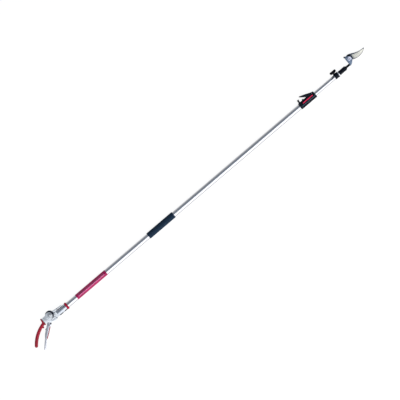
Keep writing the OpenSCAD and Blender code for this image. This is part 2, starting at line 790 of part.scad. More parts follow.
module front_rod() {
    color("darkgray") bar_x(inner_x + 30, rod_pin_at[0] - 2.2, rod_r);
}
module rod_end() {
    color("darkgray") difference() {
        box(rod_pin_at[0] - 3, rod_pin_at[0] + 3.4, -3, 3.6, -3, rod_r);
        bar_z(rod_pin_at, -10, 10, rod_pin_r);
        bar_x(rod_pin_at[0] - 4, rod_pin_at[0] - 2.2, rod_r);
    }
}
module rod_pin() {
    color("gray") bar_z(rod_pin_at, -3, blade_z + blade_t, rod_pin_r);
}
washer_x = chamber_x + 12;
module rod_washer() {
    color("gray") tube_x(washer_x, washer_x + 1.5, 5.6, rod_r);
}

// Coil spring around the rod, between the chamber's rear wall and the washer
spring_r = 4.4;
spring_wire = 0.6;
spring_turns = 6;
spring_sides = 8;
function spring_point(i, n, k) =
    let(a = 360 * spring_turns * i / n,
        b = 360 * k / spring_sides,
        pitch = (washer_x - chamber_x - 2 * spring_wire) / n * i,
        r = spring_r + spring_wire * cos(b))
    [chamber_x + spring_wire + pitch + spring_wire * sin(b), r * cos(a), r * sin(a)];
module return_spring() {
    n = spring_turns * 18;
    m = spring_sides;
    points = [for (i = [0:n], k = [0:m - 1]) spring_point(i, n, k)];
    sides = [for (i = [0:n - 1], k = [0:m - 1])
        [i * m + k, (i + 1) * m + k, (i + 1) * m + (k + 1) % m, i * m + (k + 1) % m]];
    caps = [[for (k = [0:m - 1]) k], [for (k = [m - 1:-1:0]) n * m + k]];
    color("silver") polyhedron(points, concat(sides, caps));
}

place() housing_lower();
place() housing_upper();
place() housing_screws();
place() handle_core();
place() rear_grip();
place() trigger_lever();
place() trigger_pad();
place() trigger_bumper();
place() trigger_screw();
place() trigger_bush();
place() trigger_bolt();
place() trigger_nut();
place() lock_catch();
place() pull_clevis();
place() clevis_pin();
place() pull_tube();
place() guide_bush();
place() tube_socket();
place() socket_pads();
place() end_ring();
place() outer_tube();
place() plain_sleeve();
place() foam_grip();
place() clamp_body();
place() clamp_stripe();
place() clamp_liner();
place() clamp_lever();
place() lever_pin();
place() tension_screw();
place() clamp_rivets();
place() inner_tube();
place() rear_glide();
place() tube_key();
place() collar();
place() collar_ring();
place() knob();
place() knob_stud();
place() head_socket();
place() head_stem();
place() head_casting();
place() counter_blade();
place() hook_rivets();
place() blade();
place() pivot_washer();
place() jaw_bolt();
place() jaw_nut();
place() stop_post();
place() front_rod();
place() rod_end();
place() rod_pin();
place() rod_washer();
place() return_spring();
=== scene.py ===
import json
import math

import bmesh
import bpy
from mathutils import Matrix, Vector, noise


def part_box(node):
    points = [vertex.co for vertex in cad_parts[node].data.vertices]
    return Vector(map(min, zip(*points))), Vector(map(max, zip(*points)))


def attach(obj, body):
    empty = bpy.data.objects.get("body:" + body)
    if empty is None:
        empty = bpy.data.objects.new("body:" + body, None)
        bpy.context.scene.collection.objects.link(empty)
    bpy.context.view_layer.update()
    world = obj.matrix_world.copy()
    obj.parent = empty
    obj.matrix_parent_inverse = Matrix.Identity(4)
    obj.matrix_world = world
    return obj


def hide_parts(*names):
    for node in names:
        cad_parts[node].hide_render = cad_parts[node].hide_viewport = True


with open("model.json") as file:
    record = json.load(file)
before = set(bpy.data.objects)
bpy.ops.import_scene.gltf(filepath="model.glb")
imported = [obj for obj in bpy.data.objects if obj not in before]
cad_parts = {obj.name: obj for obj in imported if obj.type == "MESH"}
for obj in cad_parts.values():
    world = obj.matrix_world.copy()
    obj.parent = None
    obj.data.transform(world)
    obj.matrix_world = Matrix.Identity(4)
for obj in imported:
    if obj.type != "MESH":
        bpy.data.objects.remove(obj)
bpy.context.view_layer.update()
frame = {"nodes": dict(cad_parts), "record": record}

MM = 0.001
NODES = frame["nodes"]
SLOT = {part["node"]: part["material_slot"] for part in frame["record"]["subparts"]}
BODY = {n: b for b, members in frame["record"]["behaviour"]["bodies"].items() for n in members}


# ---- Places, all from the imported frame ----
def middle(node):
    low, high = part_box(node)
    return (low + high) / 2


TUBE_LOW, TUBE_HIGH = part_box("outer_tube")
AXIS_Y = middle("outer_tube").y
AXIS_Z = middle("outer_tube").z
JAW_PIVOT = middle("jaw_nut")


# ---- Material helpers ----
class Finish:
    """A Principled material in object space, with short calls for its nodes."""

    def __init__(self, name, colour, roughness, metallic=0.0, **inputs):
        self.material = bpy.data.materials.new(name)
        self.material.use_nodes = True
        self.tree = self.material.node_tree
        self.shader = self.tree.nodes["Principled BSDF"]
        self.shader.inputs["Base Color"].default_value = (*colour, 1)
        self.shader.inputs["Roughness"].default_value = roughness
        self.shader.inputs["Metallic"].default_value = metallic
        for key, value in inputs.items():
            self.shader.inputs[key.replace("_", " ")].default_value = value
        self.place = self.node("ShaderNodeTexCoord").outputs["Object"]

    def node(self, kind, **settings):
        made = self.tree.nodes.new(kind)
        for key, value in settings.items():
            setattr(made, key, value)
        return made

    def link(self, source, target):
        self.tree.links.new(source, target)

    def mapped(self, scale, turn=(0, 0, 0)):
        mapping = self.node("ShaderNodeMapping")
        mapping.inputs["Scale"].default_value = scale
        mapping.inputs["Rotation"].default_value = turn
        self.link(self.place, mapping.inputs["Vector"])
        return mapping.outputs["Vector"]

    def noise(self, scale, detail=3.0, roughness=0.55, stretch=(1, 1, 1), turn=(0, 0, 0)):
        grain = self.node("ShaderNodeTexNoise")
        grain.inputs["Scale"].default_value = scale
        grain.inputs["Detail"].default_value = detail
        grain.inputs["Roughness"].default_value = roughness
        self.link(self.mapped(stretch, turn), grain.inputs["Vector"])
        return grain.outputs["Fac"]

    def cells(self, scale):
        spots = self.node("ShaderNodeTexVoronoi", feature="F1")
        spots.inputs["Scale"].default_value = scale
        self.link(self.place, spots.inputs["Vector"])
        return spots.outputs["Distance"]

    def axis(self, letter):
        parts = self.node("ShaderNodeSeparateXYZ")
        self.link(self.place, parts.inputs["Vector"])
        return parts.outputs[letter]

    def math(self, operation, a, b=None):
        step = self.node("ShaderNodeMath", operation=operation)
        for socket, value in zip(step.inputs, (a, b)):
            if value is None:
                continue
            if isinstance(value, (int, float)):
                socket.default_value = value
            else:
                self.link(value, socket)
        return step.outputs["Value"]

    def span(self, value, low, high, to_low=0.0, to_high=1.0):
        made = self.node("ShaderNodeMapRange", clamp=True)
        for name, number in (
            ("From Min", low), ("From Max", high), ("To Min", to_low), ("To Max", to_high),
        ):
            made.inputs[name].default_value = number
        self.link(value, made.inputs["Value"])
        return made.outputs["Result"]

    def mix(self, factor, a, b):
        blend = self.node("ShaderNodeMix", data_type="RGBA")
        if isinstance(factor, (int, float)):
            blend.inputs["Factor"].default_value = factor
        else:
            self.link(factor, blend.inputs["Factor"])
        for name, value in (("A", a), ("B", b)):
            socket = [s for s in blend.inputs if s.name == name and s.type == "RGBA"][0]
            if isinstance(value, tuple):
                socket.default_value = (*value, 1)
            else:
                self.link(value, socket)
        return [s for s in blend.outputs if s.type == "RGBA"][0]

    def edge_wear(self):
        """1 on convex edges, 0 elsewhere."""
        return self.span(self.node("ShaderNodeNewGeometry").outputs["Pointiness"], 0.52, 0.62)

    def colour(self, source):
        self.link(source, self.shader.inputs["Base Color"])

    def rough(self, source):
        self.link(source, self.shader.inputs["Roughness"])

    def bump(self, height, strength, distance):
        made = self.node("ShaderNodeBump")
        made.inputs["Strength"].default_value = strength
        made.inputs["Distance"].default_value = distance
        self.link(height, made.inputs["Height"])
        self.link(made.outputs["Normal"], self.shader.inputs["Normal"])


def tones(finish, grain, dark, light, low=0.35, high=0.65):
    finish.colour(finish.mix(finish.span(grain, low, high), dark, light))


# ---- Materials, one function for each kind ----
def drawn_aluminium(name, tone, roughness):
    """Drawn and polished tube: long faint die lines, smudges and a few scuffs."""
    m = Finish(name, tone, roughness, 1.0)
    lines = m.noise(1, 2, 0.6, (3, 1900, 1900))
    smudge = m.noise(38, 3, 0.6, (0.5, 1, 1))
    scuff = m.span(m.noise(240, 4, 0.7, (0.25, 1, 1)), 0.66, 0.74)
    shade = m.mix(m.span(smudge, 0.35, 0.7), tuple(0.94 * c for c in tone), tone)
    m.colour(m.mix(m.math("MULTIPLY", scuff, 0.3), shade, tuple(0.72 * c for c in tone)))
    drawn = m.span(lines, 0.3, 0.7, roughness - 0.05, roughness + 0.05)
    m.rough(m.math("ADD", drawn, m.math("MULTIPLY", scuff, 0.18)))
    m.bump(lines, 0.12, 0.00002)
    return m.material


def cast_metal(name, dark, light, roughness, grain=420, metallic=0.85, relief=0.22):
    """Tumbled die casting: fine mottle, soft flow marks, brighter worn edges."""
    m = Finish(name, light, roughness, metallic)
    fine = m.noise(grain, 4, 0.6)
    flow = m.noise(45, 3, 0.5)
    mottle = m.math("ADD", m.math("MULTIPLY", fine, 0.4), m.math("MULTIPLY", flow, 0.6))
    base = m.mix(m.span(mottle, 0.36, 0.62), dark, light)
    bright = tuple(min(1, 1.25 * c) for c in light)
    m.colour(m.mix(m.math("MULTIPLY", m.edge_wear(), 0.5), base, bright))
    m.rough(m.span(fine, 0.3, 0.7, roughness - 0.07, roughness + 0.09))
    m.bump(fine, relief, 0.00012)
    return m.material


def machined_steel(name, tone, roughness):
    """Turned or rolled steel with fine tool marks and a little grime."""
    m = Finish(name, tone, roughness, 1.0)
    marks = m.noise(900, 2, 0.5, (1, 1, 0.12))
    grime = m.noise(130, 4, 0.65)
    m.colour(m.mix(m.span(grime, 0.35, 0.7), tuple(0.7 * c for c in tone), tone))
    m.rough(m.span(marks, 0.3, 0.7, roughness - 0.06, roughness + 0.1))
    m.bump(marks, 0.15, 0.00004)
    return m.material


def moulded_plastic(name, tone, roughness, grain=1500, lift=1.6, coat=0.0):
    """Moulded plastic: spark-eroded grain, faint sink marks, paler scuffed edges."""
    m = Finish(name, tone, roughness, 0.0, Coat_Weight=coat, Coat_Roughness=0.18, Specular_IOR_Level=0.05)
    texture = m.noise(grain, 2, 0.5)
    sink = m.noise(60, 2, 0.5)
    worn = m.math("MULTIPLY", m.edge_wear(), m.span(m.noise(260, 3, 0.6), 0.42, 0.62))
    base = m.mix(m.span(sink, 0.35, 0.65), tuple(0.82 * c for c in tone), tone)
    m.colour(m.mix(m.math("MULTIPLY", worn, 0.6), base, tuple(min(1, lift * c + 0.01) for c in tone)))
    m.rough(m.span(texture, 0.3, 0.7, roughness - 0.06, roughness + 0.08))
    m.bump(texture, 0.22, 0.00008)
    return m.material


def dipped_vinyl(name, tone, deep):
    """Dipped vinyl: smooth, slightly uneven skin, darker where it is thick, duller in broad patches."""
    m = Finish(name, tone, 0.3, Specular_IOR_Level=0.25)
    drift = m.noise(26, 2, 0.45)
    skin = m.noise(700, 3, 0.55)
    m.colour(m.mix(m.span(drift, 0.35, 0.68), deep, tone))
    m.rough(m.math("ADD", m.span(drift, 0.3, 0.7, 0.26, 0.4), m.span(skin, 0.3, 0.7, 0.0, 0.08)))
    m.bump(skin, 0.18, 0.00018)
    return m.material


def soft_rubber(name, tone, roughness=0.62):
    m = Finish(name, tone, roughness, 0.0)
    crumb = m.noise(1100, 3, 0.6)
    dust = m.noise(90, 4, 0.65)
    m.colour(m.mix(m.span(dust, 0.45, 0.75), tone, tuple(min(1, c * 1.5 + 0.012) for c in tone)))
    m.rough(m.span(crumb, 0.3, 0.7, roughness - 0.08, roughness + 0.1))
    m.bump(crumb, 0.3, 0.00015)
    return m.material


def closed_cell_foam(name):
    """Foam rubber sleeve: packed pores, recessed and painted darker as shade inside them, and a few broad
    paler patches of painted sheen.
    """
    deep, skin = (0.004, 0.009, 0.02), (0.009, 0.021, 0.042)
    m = Finish(name, skin, 0.78, 0.0, Specular_IOR_Level=0.08)
    pores = m.cells(620)
    small = m.noise(1500, 3, 0.6)
    patch = m.noise(42, 3, 0.6)
    pore_relief_and_shade = m.span(pores, 0.05, 0.42)
    # pores: recessed by the bump and painted darker as shade
    base = m.mix(pore_relief_and_shade, deep, skin)
    # broad paler bluish patches: painted sheen
    painted_sheen = m.span(patch, 0.62, 0.78)
    m.colour(m.mix(m.math("MULTIPLY", painted_sheen, 0.35), base, (0.05, 0.08, 0.12)))
    m.rough(m.span(small, 0.3, 0.7, 0.7, 0.9))
    m.bump(m.math("ADD", pore_relief_and_shade, m.math("MULTIPLY", small, 0.5)), 0.45, 0.0003)
    return m.material


def printed_film(name):
    """Glossy magenta film shrunk on the tube, with a plain dark ruled line printed along it and a pale pink
    line beside it that is a painted highlight.
    """
    ink, shade = (0.34, 0.003, 0.078), (0.24, 0.002, 0.055)
    m = Finish(name, ink, 0.2, Specular_IOR_Level=0.2)
    wave = m.noise(70, 2, 0.5, (0.4, 1, 1))
    base = m.mix(m.span(wave, 0.35, 0.65), shade, ink)
    low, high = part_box("plain_sleeve")
    length = high.x - low.x
    along = m.span(m.axis("X"), low.x + 0.06 * length, low.x + 0.062 * length)
    before_end = m.span(m.axis("X"), low.x + 0.93 * length, low.x + 0.932 * length, 1, 0)
    along = m.math("MULTIPLY", along, before_end)
    above = m.math("MULTIPLY", along, m.span(m.axis("Z"), AXIS_Z, AXIS_Z + MM))
    # each line: height over the axis, half its width, strength, ink (for the pale line, the colour of the
    # painted highlight)
    dark_line = (2.6, 1.2, 0.75, (0.15, 0.1, 0.14))
    # pale pink line: a painted highlight along the sleeve, not print
    painted_highlight_line = (-2.6, 1.3, 0.7, (0.75, 0.2, 0.42))
    for rise, half, share, ink_and_highlight_colour in (dark_line, painted_highlight_line):
        across = m.math("ABSOLUTE", m.math("SUBTRACT", m.axis("Y"), AXIS_Y + rise * MM))
        line = m.math("MULTIPLY", above, m.span(across, half * MM, (half + 0.2) * MM, share, 0))
        base = m.mix(line, base, ink_and_highlight_colour)
    m.colour(base)
    m.rough(m.span(wave, 0.3, 0.7, 0.16, 0.26))
    m.bump(wave, 0.1, 0.0002)
    return m.material


def ground_steel(name, tone, along):
    """Ground bevel: fine scratches across the edge."""
    m = Finish(name, tone, 0.32, 0.75)
    scratches = m.noise(1, 3, 0.65, (2600, 260, 260), (0, 0, along))
    stain = m.noise(150, 4, 0.6)
    m.colour(m.mix(m.span(stain, 0.4, 0.75), tone, tuple(0.8 * c for c in tone)))
    m.rough(m.span(scratches, 0.3, 0.7, 0.26, 0.42))
    m.bump(scratches, 0.25, 0.00003)
    return m.material


def coated_steel(name, dark, light):
    """Coated blade spine, rubbed through on its edges."""
    m = Finish(name, light, 0.36, 0.5)
    mottle = m.noise(330, 4, 0.65)
    base = m.mix(m.span(mottle, 0.36, 0.66), dark, light)
    m.colour(m.mix(m.math("MULTIPLY", m.edge_wear(), 0.08), base, (0.5, 0.5, 0.5)))
    m.rough(m.span(mottle, 0.3, 0.7, 0.3, 0.46))
    m.bump(mottle, 0.2, 0.0001)
    return m.material


def make_materials():
    return {
        "cast_alloy": cast_metal("housing_cast", (0.44, 0.46, 0.49), (0.6, 0.62, 0.65), 0.38, metallic=0.5),
        "cast_head": cast_metal("head_cast", (0.06, 0.085, 0.13), (0.12, 0.16, 0.23), 0.36, metallic=0.5),
        "lever_alloy": cast_metal(
            "lever_cast", (0.42, 0.42, 0.46), (0.55, 0.55, 0.59), 0.28, grain=700, metallic=0.75, relief=0.06,
        ),
        "socket_alloy": cast_metal("socket_cast", (0.26, 0.28, 0.31), (0.38, 0.4, 0.44), 0.3, metallic=0.85),
        "screw_steel": machined_steel("screw_zinc", (0.5, 0.51, 0.53), 0.34),
        "nut_steel": machined_steel("nut_zinc", (0.78, 0.8, 0.95), 0.34),
        "core_steel": machined_steel("core_rolled", (0.36, 0.36, 0.37), 0.45),
        "rod_steel": machined_steel("rod_drawn", (0.62, 0.62, 0.63), 0.28),
        "ring_steel": machined_steel("ring_bright", (0.72, 0.73, 0.75), 0.24),
        "bronze": machined_steel("bush_bronze", (0.52, 0.34, 0.16), 0.36),
        "black_steel": machined_steel("screw_black", (0.03, 0.035, 0.045), 0.4),
        "red_vinyl": dipped_vinyl("grip_vinyl", (0.3, 0.002, 0.02), (0.19, 0.0015, 0.012)),
        "red_pad": dipped_vinyl("pad_vinyl", (0.4, 0.012, 0.04), (0.26, 0.006, 0.022)),
        "black_rubber": soft_rubber("pad_rubber", (0.016, 0.017, 0.02)),
        "navy_plastic": moulded_plastic("catch_plastic", (0.004, 0.006, 0.016), 0.28, coat=0.4),
        "tube_alloy": drawn_aluminium("tube_drawn", (0.5, 0.5, 0.525), 0.15),
        "white_plastic": moulded_plastic("bush_plastic", (0.7, 0.69, 0.64), 0.42, lift=1.1),
        "red_ring": moulded_plastic("ring_plastic", (0.36, 0.004, 0.03), 0.3),
        "magenta_film": printed_film("sleeve_film"),
        "foam": closed_cell_foam("grip_foam"),
        "black_plastic": moulded_plastic("fitting_plastic", (0.004, 0.006, 0.011), 0.3, lift=4.0),
        # the rib's teal tone is a painted highlight; its glossy coat also catches the key light
        "rib_painted_highlight": moulded_plastic("rib_painted_highlight_moulded", (0.02, 0.06, 0.09), 0.2, lift=2.0, coat=0.8),
        "knob_plastic": moulded_plastic("knob_moulded", (0.003, 0.003, 0.005), 0.36, lift=2.0),
        "red_stripe": moulded_plastic("stripe_plastic", (0.55, 0.02, 0.07), 0.34),
        "hook_steel": coated_steel("hook_coated", (0.09, 0.085, 0.09), (0.17, 0.16, 0.17)),
        "blade_steel": coated_steel("blade_coated", (0.03, 0.042, 0.062), (0.065, 0.082, 0.11)),
    }


# ---- Mesh helpers ----
def piece(name, mesh, nodes, materials):
    """A new piece that stands for CAD nodes of one body."""
    made = bpy.data.objects.new(name, mesh)
    bpy.context.scene.collection.objects.link(made)
    for material in materials:
        mesh.materials.append(material)
    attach(made, BODY[nodes[0]])
    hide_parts(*nodes)
    return made


def shade(mesh, angle=35):
    mesh.shade_smooth()
    mesh.set_sharp_from_angle(angle=math.radians(angle))


def weigh_edges(work, limit, least):
    """Marks the edges to bevel: sharp, and where a length is asked, that long and on wide faces."""
    weight = work.edges.layers.float.new("bevel_weight_edge")
    for edge in work.edges:
        length = edge.calc_length()
        sharp = len(edge.link_faces) == 2 and edge.calc_face_angle(0) > limit
        wide = least == 0 or all(face.calc_area() > least / 2 * length for face in edge.link_faces)
        edge[weight] = 1.0 if sharp and wide and length >= least else 0.0


def rounded(node, width):
    """Bevelled copy of a CAD node's mesh."""
    sharp_from = math.radians(32)
    source = NODES[node]
    mesh = source.data.copy()
    mesh.materials.clear()
    work = bmesh.new()
    work.from_mesh(mesh)
    bmesh.ops.remove_doubles(work, verts=work.verts, dist=2e-6)
    bmesh.ops.dissolve_limit(work, angle_limit=math.radians(0.8), verts=work.verts, edges=work.edges)
    bmesh.ops.recalc_face_normals(work, faces=work.faces)
    weigh_edges(work, sharp_from, LONG_EDGES.get(node, 0) * MM)
    work.to_mesh(mesh)
    work.free()
    # the import's own normals would show through the bevels
    imported = ("custom_normal", "sharp_edge", "sharp_face")
    for spare in [a.name for a in mesh.attributes if a.name in imported]:
        mesh.attributes.remove(mesh.attributes[spare])
    made = piece(node + "_finished", mesh, [node], [MATERIAL[FINISH.get(node, SLOT[node])]])
    bevel = made.modifiers.new("edges", "BEVEL")
    bevel.width = width
    bevel.segments = 2
    bevel.limit_method = "WEIGHT"
    bevel.use_clamp_overlap = node not in LONG_EDGES
    bevel.miter_outer = "MITER_ARC"
    graph = bpy.context.evaluated_depsgraph_get()
    final = bpy.data.meshes.new_from_object(made.evaluated_get(graph), depsgraph=graph)
    made.modifiers.clear()
    old = made.data
    made.data = final
    bpy.data.meshes.remove(old)
    shade(final)
    return made


def tube_mesh(name, rings, closed=True):
    """Quads between rings of points, with the ends closed."""
    work = bmesh.new()
    rows = [[work.verts.new(p) for p in ring] for ring in rings]
    count = len(rows[0])
    for a, b in zip(rows, rows[1:]):
        for k in range(count):
            work.faces.new((a[k], a[(k + 1) % count], b[(k + 1) % count], b[k]))
    if closed:
        work.faces.new(rows[0][::-1])
        work.faces.new(rows[-1])
    else:
        for k in range(count):
            work.faces.new((rows[-1][k], rows[-1][(k + 1) % count], rows[0][(k + 1) % count], rows[0][k]))
    bmesh.ops.recalc_face_normals(work, faces=work.faces)
    mesh = bpy.data.meshes.new(name)
    work.to_mesh(mesh)
    work.free()
    return mesh


def join_meshes(name, meshes):
    work = bmesh.new()
    for mesh in meshes:
        work.from_mesh(mesh)
        bpy.data.meshes.remove(mesh)
    joined = bpy.data.meshes.new(name)
    work.to_mesh(joined)
    work.free()
    return joined


def lerp(a, b, t):
    return a + (b - a) * t


def ease(t):
    u = max(0.0, min(1.0, t))
    return u * u * (3 - 2 * u)


def bezier(a, b, c, d, t):
    return (1 - t) ** 3 * a + 3 * t * (1 - t) ** 2 * b + 3 * t * t * (1 - t) * c + t**3 * d


# ---- Foam grip ----
def make_foam_grip():
    """Foam sleeve with soft ends and a pressed, uneven skin."""
    low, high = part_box("foam_grip")
    outer = (high.y - low.y) / 2
    bore = (TUBE_HIGH.y - TUBE_LOW.y) / 2 + 0.02 * MM
    rounding = 2.0 * MM
    length = high.x - low.x
    profile = [(low.x, bore)]
    for i in range(9):
        a = math.pi / 2 * i / 8
        profile.append((low.x + rounding * (1 - math.sin(a)), outer - rounding * (1 - math.cos(a))))
    profile = [profile[0]] + profile[1:][::-1]
    steps = 90
    for i in range(1, steps):
        profile.append((low.x + rounding + (length - 2 * rounding) * i / steps, outer))
    for i in range(9):
        a = math.pi / 2 * i / 8
        profile.append((high.x - rounding * (1 - math.sin(a)), outer - rounding * (1 - math.cos(a))))
    profile.append((high.x, bore))
    rings = []
    sides = 72
    for x, r in profile:
        ring = []
        for k in range(sides):
            a = 2 * math.pi * k / sides
            spot = Vector((x * 60, 3 * math.cos(a), 3 * math.sin(a)))
            wobble = 0.12 * MM * noise.noise(spot) + 0.05 * MM * noise.noise(spot * 6)
            radius = r if r <= bore else r - 0.16 * MM + wobble
            ring.append((x, AXIS_Y + radius * math.cos(a), AXIS_Z + radius * math.sin(a)))
        rings.append(ring)
    mesh = tube_mesh("foam_sleeve", rings, closed=False)
    shade(mesh, 50)
    made = piece("foam_sleeve", mesh, ["foam_grip"], [MATERIAL["foam"]])
    return made


# ---- Rear grip ----
GRIP_BEND = 148 * MM  # radius of the handle's curve
GRIP_SLOPE = math.radians(13.5)  # its slope where it starts
GRIP_TURN = 98 / 148  # the angle it turns through
GRIP_HALF_T = 10.4 * MM
LIP_HALF = 16.2 * MM


def superellipse(half_w, half_t, power, sides=40):
    points = []
    for k in range(sides):
        a = 2 * math.pi * k / sides
        c, s = math.cos(a), math.sin(a)
        points.append((
            math.copysign(abs(c) ** (2 / power), c) * half_w,
            math.copysign(abs(s) ** (2 / power), s) * half_t,
        ))
    return points


def make_rear_grip():
    """Dipped handle: rounded section with a palm swell, a round tip and a trumpet lip against the housing."""
    face_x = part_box("housing_lower")[0].x
    start = Vector((face_x - 7 * MM, AXIS_Y + 6 * MM))
    centre = start + GRIP_BEND * Vector((math.sin(GRIP_SLOPE), -math.cos(GRIP_SLOPE)))
    stations = []
    count = 44
    for i in range(count + 1):
        u = i / count
        angle = math.pi / 2 + GRIP_SLOPE + GRIP_TURN * (1 - u)
        radial = Vector((math.cos(angle), math.sin(angle)))
        swell = 1 + 0.06 * math.sin(math.pi * min(1, u * 1.25)) - 0.02
        stations.append((centre + GRIP_BEND * radial, radial, 7 * MM * swell, GRIP_HALF_T, 2.7))
    # round end
    tip_centre, tip_radial = stations[0][0], stations[0][1]
    backwards = Vector((-tip_radial.y, tip_radial.x))
    cap = []
    for i in range(1, 9):
        a = math.pi / 2 * i / 8
        shrink = math.sin(a)
        reach = 6.8 * MM * math.cos(a)
        half_w = 6.9 * MM * shrink + 0.05 * MM
        half_t = GRIP_HALF_T * (0.35 + 0.65 * shrink)
        cap.append((tip_centre + backwards * reach, tip_radial, half_w, half_t, 2.4))
    stations = cap + stations[1:]
    # trumpet that meets the housing's rear face
    end_centre = Vector((face_x - 0.4 * MM, AXIS_Y + 12.6 * MM))
    first_c, first_r = stations[-1][0], stations[-1][1]
    end_radial = Vector((-0.02, 1.0)).normalized()
    for i in range(1, 13):
        t = i / 12
        along = first_c.lerp(end_centre - Vector((4.6 * MM, 0.4 * MM)), t)
        radial = first_r.lerp(end_radial, t).normalized()
        flare = t**2.2
        half_w = lerp(7 * MM, 13 * MM, flare)
        half_t = lerp(GRIP_HALF_T, 10.6 * MM, flare)
        stations.append((along, radial, half_w, half_t, lerp(2.7, 5, flare)))
    lip = stations.pop()
    for step, shrink in ((-4.6, 1.4), (-4.2, 0.5), (-3.2, 0), (-1.0, 0), (-0.2, 0.5), (0.1, 1.3)):
        at = end_centre + Vector((step * MM, 0))
        stations.append((at, lip[1], LIP_HALF - shrink * MM, (11.1 - 0.6 * shrink) * MM, 6))
    rings = []
    for at, radial, half_w, half_t, power in stations:
        rings.append([
            (at.x + radial.x * a, at.y + radial.y * a, AXIS_Z + b)
            for a, b in superellipse(half_w, half_t, power)
        ])
    grip = tube_mesh("grip_skin", rings)
    bead = round_button(Vector((face_x - 16.5 * MM, AXIS_Y - 5.6 * MM, AXIS_Z)), 3.6 * MM, 12 * MM)
    mesh = join_meshes("rear_grip_skin", [grip, bead])
    shade(mesh, 50)
    return piece("rear_grip_skin", mesh, ["rear_grip"], [MATERIAL["red_vinyl"]])


def round_button(at, radius, height, sides=28):
    """Upright pin with fully rounded rims."""
    rings = []
    rim = min(1.2 * MM, radius * 0.6)
    for i in range(7):
        a = math.pi / 2 * i / 6
        rings.append((radius - rim * (1 - math.sin(a)), -height / 2 + rim * (1 - math.cos(a))))
    rings += [(r, -z) for r, z in reversed(rings)]
    turns = [2 * math.pi * k / sides for k in range(sides)]
    circles = [
        [(at.x + r * math.cos(a), at.y + r * math.sin(a), at.z + z) for a in turns]
        for r, z in rings
    ]
    return tube_mesh("button", circles)


# ---- Cutting blade ----
def make_blade():
    """Coated blade with a ground bevel down to its edge."""
    low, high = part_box("blade")
    pivot = JAW_PIVOT
    reach = high.x - pivot.x
    k = reach / (75 * MM)
    top, bottom = high.z, low.z

    def jaw(dx, dy):
        return Vector((pivot.x + dx * k * MM, pivot.y + dy * MM))

    tip = Vector((high.x - 0.1 * MM, pivot.y - 4.2 * MM))
    spine = (jaw(2, 17.6), jaw(22, 15.6), jaw(32, -3.6), tip + Vector((-0.6, 1.4)) * MM)
    edge = (jaw(9, -9.4), jaw(30, -20.6), jaw(60, -17), tip + Vector((-0.3, -0.4)) * MM)
    count = 64
    rings = []
    for i in range(count + 1):
        t = i / count
        a = bezier(*spine, t)
        b = bezier(*edge, t)
        width = (b - a).length
        across = (b - a) / width
        band = lerp(10.2, 4.9, ease(t * 1.15)) * MM
        # the bevel starts beyond the flat round the pivot
        flat = lerp(0.93, min(0.93, band / width), ease((t - 0.06) / 0.16))
        c = a + across * width * flat
        chamfer = min(0.5 * MM, width * 0.1)
        rise = 0.45 * MM
        shrink = ease((t - 0.06) / 0.16)
        edge_top = lerp(top, bottom + 0.5 * MM, shrink)
        ring = [
            (a.x, a.y, bottom), (a.x, a.y, top - rise),
            (*(a + across * chamfer), top), (*c, top), (*b, edge_top), (*b, bottom),
        ]
        rings.append(ring)
    mesh = tube_mesh("blade_cut", rings)
    for polygon in mesh.polygons:
        at = polygon.center
        sloped = 0.5 < polygon.normal.z < 0.9985
        low_down = at.z < top - 0.1 * MM and at.y < pivot.y + 14 * MM
        ground = sloped and low_down and not near_spine(at, spine)
        polygon.material_index = 1 if ground else 0
    root = blade_root(pivot, jaw, bottom, top)
    joined = join_meshes("blade_ground", [mesh, root])
    shade(joined, 20)
    bevel = ground_steel("bevel_ground", (0.5, 0.49, 0.44), math.radians(20))
    return piece("blade_ground", joined, ["blade"], [MATERIAL["blade_steel"], bevel])


def near_spine(point, spine):
    flat = Vector((point.x, point.y))
    return min((flat - bezier(*spine, i / 40)).length for i in range(41)) < 0.6 * MM


def blade_root(pivot, jaw, bottom, top):
    """Flat plate round the pivot and down to the pull's pin."""
    hub = Vector((pivot.x, pivot.y))
    pin = middle("rod_pin")
    pin = Vector((pin.x, pin.y))

    def arc(c, r, a0, a1, n):
        turns = [math.radians(lerp(a0, a1, i / n)) for i in range(n + 1)]
        return [c + r * MM * Vector((math.cos(a), math.sin(a))) for a in turns]

    outline = [jaw(2, 17.6), jaw(6, 17), jaw(9.6, 14.6), jaw(12, 9), jaw(12, 0), jaw(9, -9.4)]
    outline += arc(pin, 3.4, -15, -195, 12)
    outline += arc(hub, 12, -130, -230, 14)
    outline += [jaw(-5, 15.9)]
    work = bmesh.new()
    work.faces.new([work.verts.new((p.x, p.y, bottom)) for p in outline])
    extruded = bmesh.ops.extrude_face_region(work, geom=list(work.faces))
    lifted = [v for v in extruded["geom"] if isinstance(v, bmesh.types.BMVert)]
    bmesh.ops.translate(work, verts=lifted, vec=(0, 0, top - bottom))
    bmesh.ops.recalc_face_normals(work, faces=work.faces)
    rims = [e for e in work.edges if abs(e.verts[0].co.z - e.verts[1].co.z) < 1e-9]
    bmesh.ops.bevel(work, geom=rims, offset=0.35 * MM, segments=2, affect="EDGES", clamp_overlap=True)
    mesh = bpy.data.meshes.new("root")
    work.to_mesh(mesh)
    work.free()
    return mesh


